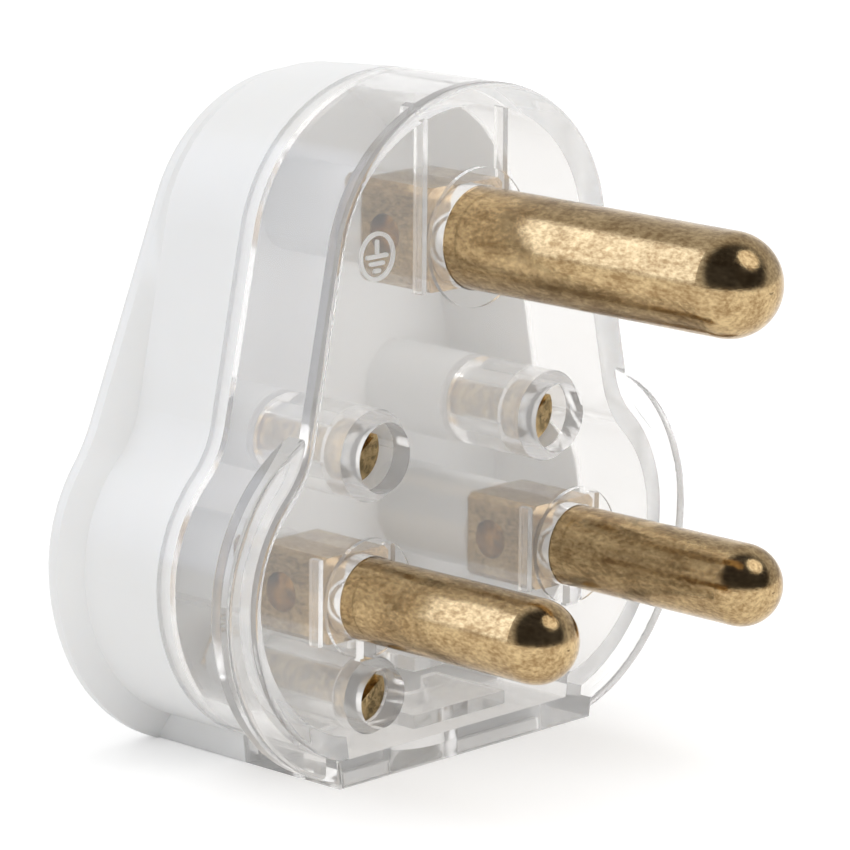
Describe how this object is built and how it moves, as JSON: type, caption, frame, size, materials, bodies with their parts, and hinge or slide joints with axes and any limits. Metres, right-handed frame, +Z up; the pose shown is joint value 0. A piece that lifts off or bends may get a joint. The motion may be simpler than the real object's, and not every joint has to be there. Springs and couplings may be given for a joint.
{
  "type": "mains plug top",
  "caption": "Round-pin mains plug top for hand wiring: clear front body, white rear cover, solid brass pins, slotted brass screws and a cord entry in the foot.",
  "frame": {"origin": "on the axis of the earth pin, level with the fronts of the collars round the pins", "axes": "+Z up, from the line and neutral pins to the earth pin; the pins point along -Y; +X to the right when the pins are seen from in front"},
  "size_m": [0.0562, 0.0557, 0.0575],
  "materials": {
    "clear_plastic": "clear polycarbonate, polished",
    "white_plastic": "white, smooth semi-gloss",
    "clamp_plastic": "white, moulded",
    "pin_brass": "solid brass, mottled satin",
    "screw_brass": "solid brass, turned"
  },
  "bodies": {
    "root": {"front_body": "clear_plastic", "rear_cover": "white_plastic", "cord_clamp": "clamp_plastic", "earth_pin": "pin_brass", "line_pin": "pin_brass", "neutral_pin": "pin_brass", "earth_terminal_screw": "screw_brass", "line_terminal_screw": "screw_brass", "neutral_terminal_screw": "screw_brass", "cover_screw_left": "screw_brass", "cover_screw_right": "screw_brass", "clamp_screw_left": "screw_brass", "clamp_screw_right": "screw_brass", "cover_insert_left": "screw_brass", "cover_insert_right": "screw_brass", "clamp_nut_left": "screw_brass", "clamp_nut_right": "screw_brass"}
  },
  "joints": []
}
